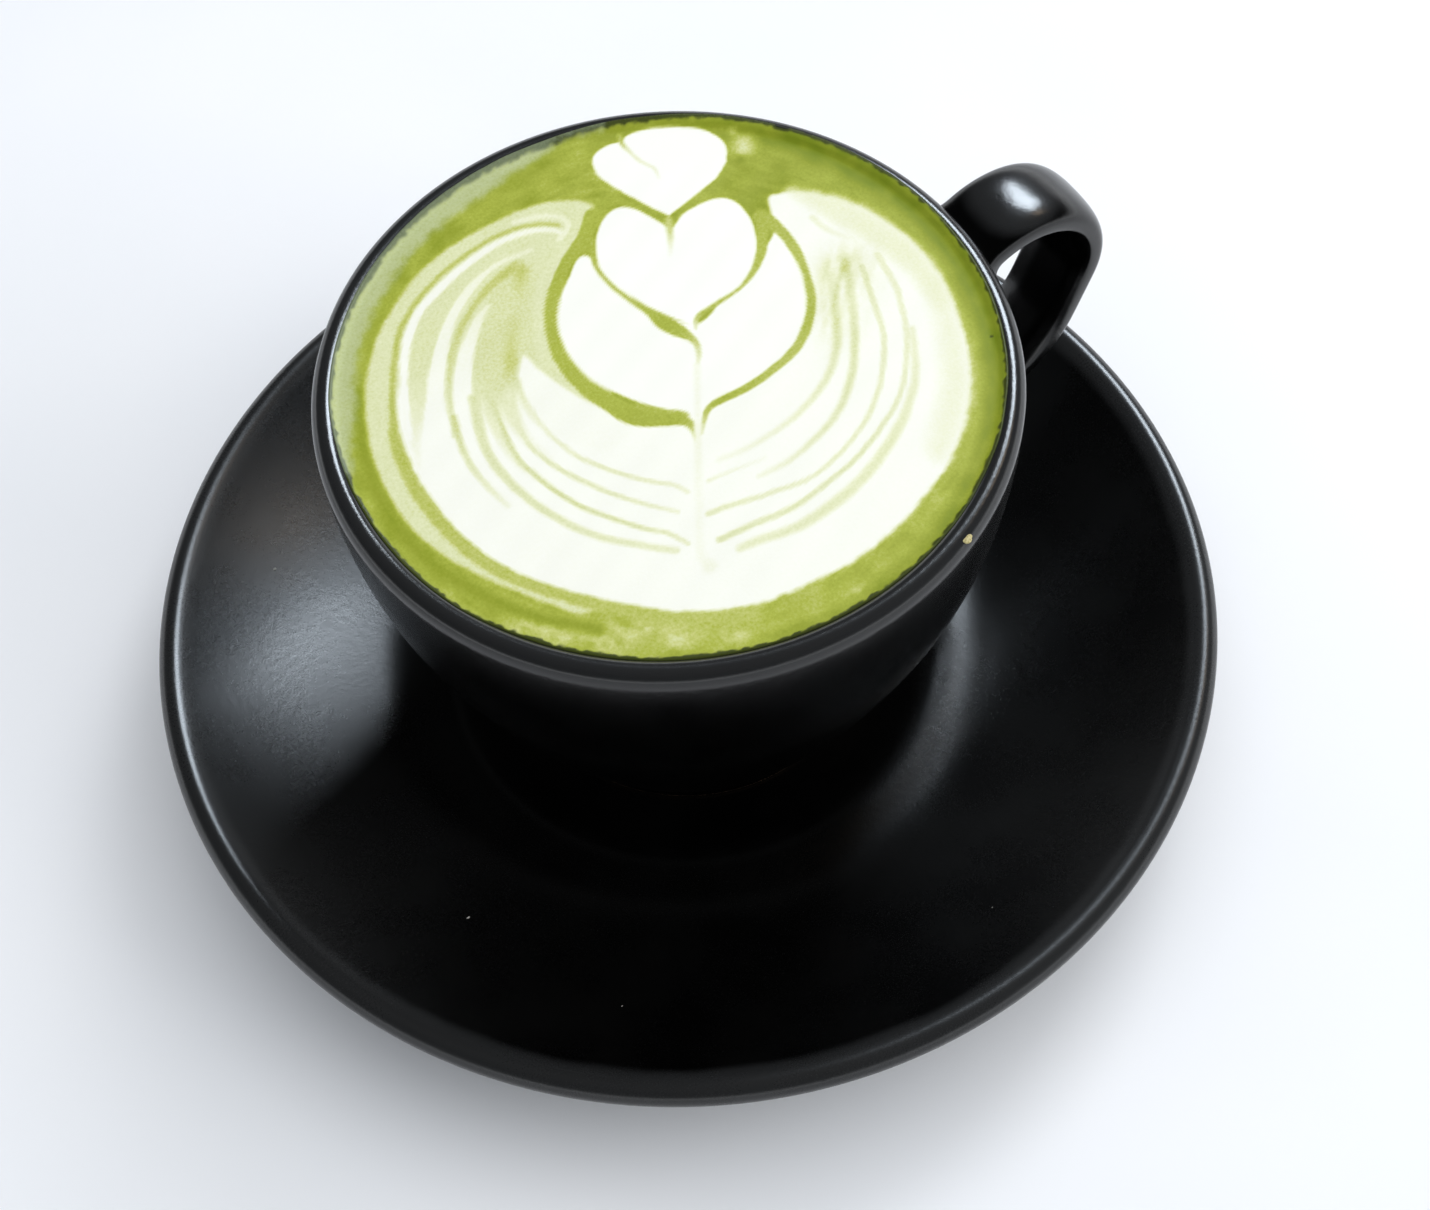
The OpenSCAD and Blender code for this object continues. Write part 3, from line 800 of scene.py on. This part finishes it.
def noise(w, place, size_mm, detail=3.0, rough=0.5):
    """A cloudy pattern whose lumps are about the given size."""
    return w.node("ShaderNodeTexNoise", {}, {"Vector": place, "Scale": 1 / (size_mm * MM),
                                              "Detail": detail, "Roughness": rough})


def bumped(w, height, depth_mm, strength):
    """The normal of a surface raised by a height from 0 to 1 of the given depth."""
    return w.node("ShaderNodeBump", {}, {"Height": height, "Distance": depth_mm * MM,
                                          "Strength": strength})


def finish(w, piece, material, sockets):
    """The Principled shader with these sockets, joined to the output and put on a piece."""
    shader = w.node("ShaderNodeBsdfPrincipled", {}, sockets)
    w.node("ShaderNodeOutputMaterial", {}, {"Surface": shader})
    piece.data.materials.clear()
    piece.data.materials.append(material)
    print(material.name, len(material.node_tree.nodes), "nodes")


# %% [markdown]
# ## The glaze
# The pots wear a near-black satin glaze. It is never quite even: it pools and clouds over
# centimetres, has an orange-peel skin about a millimetre across with fine pits in it, and thins to
# dark grey on rounded edges. That grey on the lip and on the saucer's rim bead is also a painted
# highlight: it is made lighter to stand in for the sheen the rims catch. The foot rings are wiped
# clean before firing, so bare stoneware shows there. Because the clay and the glaze are the same
# on both pots, one recipe serves both.

# %% Glaze recipe on both pots
GLAZE_DEEP, GLAZE_CLOUD = tint(1, 1, 1), tint(4, 4, 4)
# Thinned-glaze grey, made lighter as a painted highlight for the rims' sheen.
GLAZE_THIN_AND_SHEEN, GLAZE_FLECK = tint(40, 41, 42), tint(15, 15, 16)
GLAZE_SHINE = 0.5


def glaze(piece, name, foot_z, thin_and_sheen_z, satin):
    """Near-black satin glaze above a bare foot at foot_z, and dark grey above the given rim height: thinned
    glaze, lightened as a painted rim highlight.
    """
    material, w, place = begin(name)
    height = w.node("ShaderNodeSeparateXYZ", {}, {0: place}, "Z") * (1 / MM)
    cloud = noise(w, place, 14, 4)
    skin = noise(w, place, 1.1, 2)
    grain = noise(w, place, 0.32, 2, 0.7)
    pits = w.node("ShaderNodeTexVoronoi", {}, {"Vector": place, "Scale": 1 / (2.6 * MM)}).step(.05, .16)
    # Grey of thinned glaze on the lip and rim bead, which is also a painted highlight for their sheen.
    thin_and_sheen = (height + cloud * 0.8).step(thin_and_sheen_z, thin_and_sheen_z + 1.1)
    bare = 1 - (height + grain * 0.5).step(foot_z, foot_z + 0.35)
    dark = cloud.step(.3, .7).mixed(GLAZE_DEEP, GLAZE_CLOUD)
    dark = (thin_and_sheen * 0.7).mixed(dark, GLAZE_THIN_AND_SHEEN)
    dark = (grain.step(.66, .8) * 0.25).mixed(dark, GLAZE_FLECK)
    clay_tone = grain.step(.3, .7).mixed(tint(150, 122, 98), tint(178, 150, 122))
    rough = satin + (cloud - 0.5) * 0.1 + (grain - 0.5) * 0.06
    relief = skin * 0.6 + grain * 0.35 + pits * 0.2 + bare * grain
    finish(w, piece, material, {
        "Base Color": bare.mixed(dark, clay_tone),
        "Roughness": rough + bare * 0.5,
        "IOR": 1.5,
        "Specular IOR Level": GLAZE_SHINE,
        "Normal": bumped(w, relief, 0.05, 0.55),
    })


# Above these heights the lip and the rim bead get the thinned-glaze grey and its painted highlight.
glaze(saucer_piece, "saucer_satin_black_glaze", 0.5, 22.9, 0.28)
glaze(cup_piece, "cup_satin_black_glaze", base_z + 0.5, 77.6, 0.2)

# %% [markdown]
# ## Matcha and foam
# Whisked matcha is a yellow green, not a blue one, and milk lightens it through a soft lime to
# cream and then to white. So the colour is a ramp read by the milk share. Microfoam is a skin of
# bubbles a few tenths of a millimetre across: they give it a satin surface, and make each green
# line slightly grainy.

# %% Drink material
material, w, place = begin("matcha_milk_foam")
milk_share = w.node("ShaderNodeAttribute", {"attribute_name": "milk"}, out="Fac")
haze_share = w.node("ShaderNodeAttribute", {"attribute_name": "haze"}, out="Fac")
wet_share = w.node("ShaderNodeAttribute", {"attribute_name": "wet"}, out="Fac")
fine = noise(w, place, 0.45, 3, 0.65)
cloudy = noise(w, place, 4.5, 4)
bubble = w.node("ShaderNodeTexVoronoi", {}, {"Vector": place, "Scale": 1 / (0.55 * MM)})
unsure = milk_share * (1 - milk_share)
grainy = milk_share + unsure * ((fine - 0.5) * 1.5 + (cloudy - 0.5) * 0.35)
FOAM_LIGHT = 0.86
RAMP = [(0, (122, 140, 28)), (.12, (146, 159, 42)), (.28, (174, 184, 72)), (.45, (202, 207, 126)),
        (.62, (220, 225, 176)), (.78, (234, 237, 203)), (.9, (243, 245, 226)), (1, (252, 253, 247))]
stops = [(share, tuple(FOAM_LIGHT * v for v in tint(*colour))) for share, colour in RAMP]
pale_green = w.node("ShaderNodeValToRGB", {"stops": stops}, {"Fac": grainy})
green_cloud = cloudy.step(.35, .7) * (1 - milk_share.step(.1, .5)) * 0.35
pale_green = green_cloud.mixed(pale_green, tint(144, 153, 50))
speckled = (haze_share * (0.78 + (fine - 0.5) * 0.9)).step(0, 1) * 0.9
hazed = speckled.mixed(pale_green, tint(178, 187, 144))
film = (fine * 0.4 + haze_share * 0.5).step(.3, .8)
film = film.mixed(tint(60, 68, 26), tint(112, 122, 96))
film = wet_share.step(1.0, 1.3).mixed(film, tint(30, 33, 24))
colour = (wet_share + (fine - 0.5) * 0.5).step(.2, .85).mixed(hazed, film)
relief = (1 - bubble.step(0, .5)) * (0.25 + haze_share * 0.75) + fine * 0.5
finish(w, drink_piece, material, {
    "Base Color": colour,
    "Roughness": 0.48 - wet_share * 0.2 + (fine - 0.5) * 0.2,
    "IOR": 1.38,
    "Specular IOR Level": 0.14,
    "Normal": bumped(w, relief, 0.04, 0.35),
})

# %% [markdown]
# ## Small traces of use
# A smear of foam has dried on the lip at the front right, and a few specks of dust lie on the
# saucer. Each is a little lump: a sphere squashed flat and pushed about by a few sines.

# %% Dried fleck and dust


def lump(centre, half, seed, turns=18, rows=9):
    """A squashed sphere, x = a cos t sin p and so on, its radius varied by a sum of sines."""
    rng = np.random.default_rng(seed)
    t, p = np.meshgrid(np.linspace(0, 2 * np.pi, turns, endpoint=False),
                       np.linspace(0, np.pi, rows + 2)[1:-1])
    grow = 1 + 0.16 * np.sin(2 * t + rng.uniform(0, 6)) + 0.12 * np.sin(3 * t + 2 * p + rng.uniform(0, 6))
    x = half[0] * grow * np.cos(t) * np.sin(p)
    y = half[1] * grow * np.sin(t) * np.sin(p)
    z = half[2] * np.cos(p) * (1 + 0.2 * np.sin(3 * t + rng.uniform(0, 6)))
    body = np.stack([x, y, z], -1).reshape(-1, 3)
    points = np.concatenate([body, [[0, 0, half[2]], [0, 0, -half[2]]]]) + centre
    faces = ring_quads(rows, turns) + pole_fan(0, turns, rows * turns, True)
    faces += pole_fan((rows - 1) * turns, turns, rows * turns + 1, False)
    return points, facing_out(points, faces)


def placed(x, y):
    """A place given across and away from the pourer, turned to the handle's own axes."""
    return turned[:2, :2] @ np.array([x, y])


def gather(name, lumps):
    """Several lumps as one piece."""
    points, faces, first = [], [], 0
    for p, f in lumps:
        faces += [[v + first for v in q] for q in f]
        points.append(p)
        first += len(p)
    return mesh_piece(name, np.concatenate(points), faces)


fleck_x, fleck_y = placed(36.3, -28.9)
fleck_r = np.hypot(fleck_x, fleck_y)
fleck = lump((fleck_x, fleck_y, lip_height(fleck_r, 0)), (0.8, 0.5, 0.22), 4)
fleck_piece = gather("dried_fleck", [fleck])


def dish_z(r):
    """Height of the saucer's upper face at r, from its dish arc."""
    return dish_cz - np.sqrt(dish_r ** 2 - (r - dish_cr) ** 2)


DUST = [(-33.9, -47, .26), (-64.1, 12.9, .3), (41, -52, .12), (-12, -63, .12)]
dust = []
for number, (x, y, half) in enumerate(DUST):
    px, py = placed(x, y)
    centre = (px, py, dish_z(np.hypot(x, y)) + half * 0.3)
    dust.append(lump(centre, (half, half * 0.6, half * 0.5), number + 30, 10, 5))
dust_piece = gather("dust_specks", dust)

for piece, name, low, high in ((fleck_piece, "dried_foam", (152, 140, 88), (200, 190, 140)),
                               (dust_piece, "pale_dust", (130, 130, 126), (190, 188, 182))):
    material, w, place = begin(name)
    crumb = noise(w, place, 0.3, 3)
    finish(w, piece, material, {
        "Base Color": crumb.step(.3, .7).mixed(tint(*low), tint(*high)),
        "Roughness": 0.65 + crumb * 0.2,
        "Normal": bumped(w, crumb, 0.05, 0.5),
    })

# %% [markdown]
# ## Table, light and camera
# The table is a plain pale sheet. Three wide soft lights, overhead, at the right and at the back
# right, do most of the work. They are kept out of reflections, so the black glaze stays black, as
# it does under a dark ceiling, and they draw the shadow to the front left. One soft window behind
# the cup on the right is seen only in the gloss. It gives the two broad sheens: on the left where
# the dish leans in, and on the right where the ring round the seat leans out. A small warm wall
# beside it tints the left sheen, and a bright band low round the room lights the rims.

# %% Pale table
table = bpy.data.objects.new("table", bpy.data.meshes.new("table"))
half = 3.0
corners = [(-half, -half, 0), (half, -half, 0), (half, half, 0), (-half, half, 0)]
table.data.from_pydata(corners, [], [(0, 1, 2, 3)])
bpy.context.collection.objects.link(table)
material, w, place = begin("pale_table")
broad = noise(w, place, 90, 2).step(.2, .8)
finish(w, table, material, {
    "Base Color": broad.mixed(tint(232, 235, 240), tint(238, 240, 244)),
    "Roughness": 0.6 + noise(w, place, 3, 2) * 0.1,
    "Specular IOR Level": 0.2,
})

# %% Soft lights
turn_room = Matrix.Rotation(-float(pour_turn), 4, "Z")


def soft_light(name, spot, size, power, colour, gloss_only, aim=(0, 0, 0.03)):
    """A square light at a spot given across, away and up, turned to face the cup."""
    light = bpy.data.lights.new(name, "AREA")
    light.shape, light.size, light.energy, light.color = "SQUARE", size, power, colour
    holder = bpy.data.objects.new(name, light)
    facing = (Vector(spot) - Vector(aim)).to_track_quat("Z", "Y").to_matrix().to_4x4()
    holder.matrix_world = turn_room @ Matrix.Translation(spot) @ facing
    holder.visible_glossy, holder.visible_diffuse = gloss_only, not gloss_only
    bpy.context.collection.objects.link(holder)
    print(name, "light of", power, "W,", "seen only in gloss" if gloss_only else "kept out of gloss")


def sky_spot(around, above, far):
    """A spot seen from the cup at an angle round from straight ahead, an angle up and a distance."""
    a, e = np.radians(around), np.radians(above)
    return (far * np.sin(a) * np.cos(e), far * np.cos(a) * np.cos(e), far * np.sin(e))


soft_light("overhead", (0.35, 0.1, 1.6), 2.2, 15.5, (1, 1, 1), False)
soft_light("side_wall", (1.5, -0.35, 0.8), 1.2, 12, (1, 0.99, 0.97), False)
soft_light("back_right", sky_spot(35, 45, 1.3), 0.5, 4, (0.97, 0.98, 1), False)
soft_light("window_right", sky_spot(26, 47, 1.3), 0.4, 12.5, (0.8, 0.9, 1), True)
soft_light("warm_wall", sky_spot(53, 52, 1.3), 0.2, 0.45, (1, 0.75, 0.5), True)

# %% [markdown]
# ## The room round it
# Two rooms in one: to plain surfaces it is an even pale fill, and to the gloss it is a dark ceiling
# over a bright low band, as a window sill and pale walls would be. The kind of ray decides.

# %% Room
ROOM_LIGHT, HORIZON_LIGHT, CEILING_LIGHT = 0.52, 1.6, 0.008
world = bpy.data.worlds.new("room")
world.use_nodes = True
world.node_tree.nodes.clear()
w = Wire(world.node_tree)
sky_height = w.node("ShaderNodeSeparateXYZ", {}, {0: w.node("ShaderNodeTexCoord", out="Generated")}, "Z")
horizon = (1 - sky_height.step(0.05, 0.36)) * HORIZON_LIGHT + CEILING_LIGHT
in_gloss = w.node("ShaderNodeLightPath", out="Is Glossy Ray")
strength = in_gloss * horizon + (1 - in_gloss) * ROOM_LIGHT
w.node("ShaderNodeOutputWorld", {}, {"Surface": w.node("ShaderNodeBackground", {}, {
    "Color": (0.94, 0.97, 1, 1), "Strength": strength})})
bpy.context.scene.world = world
bpy.context.scene.view_settings.view_transform = "Standard"

# %% Camera
camera_data = bpy.data.cameras.new("camera")
camera_data.sensor_width, camera_data.lens = 36.0, 57.9
camera_data.clip_start = 0.01
camera = bpy.data.objects.new("camera", camera_data)
elevation, roll, distance = np.radians(58.38), np.radians(-3.53), 0.349
target = np.array([0.0044, -0.00146, 0.022])
ahead = np.array([0, np.cos(elevation), -np.sin(elevation)])
level = np.array([1.0, 0, 0])
upright = np.cross(level, ahead)
right = np.cos(roll) * level + np.sin(roll) * upright
up = -np.sin(roll) * level + np.cos(roll) * upright
placing = Matrix(np.column_stack([right, up, -ahead]).tolist()).to_4x4()
camera.matrix_world = turn_room @ Matrix.Translation(target - distance * ahead) @ placing
bpy.context.collection.objects.link(camera)
bpy.context.scene.camera = camera
print("camera stands", [round(v, 4) for v in camera.matrix_world.translation])
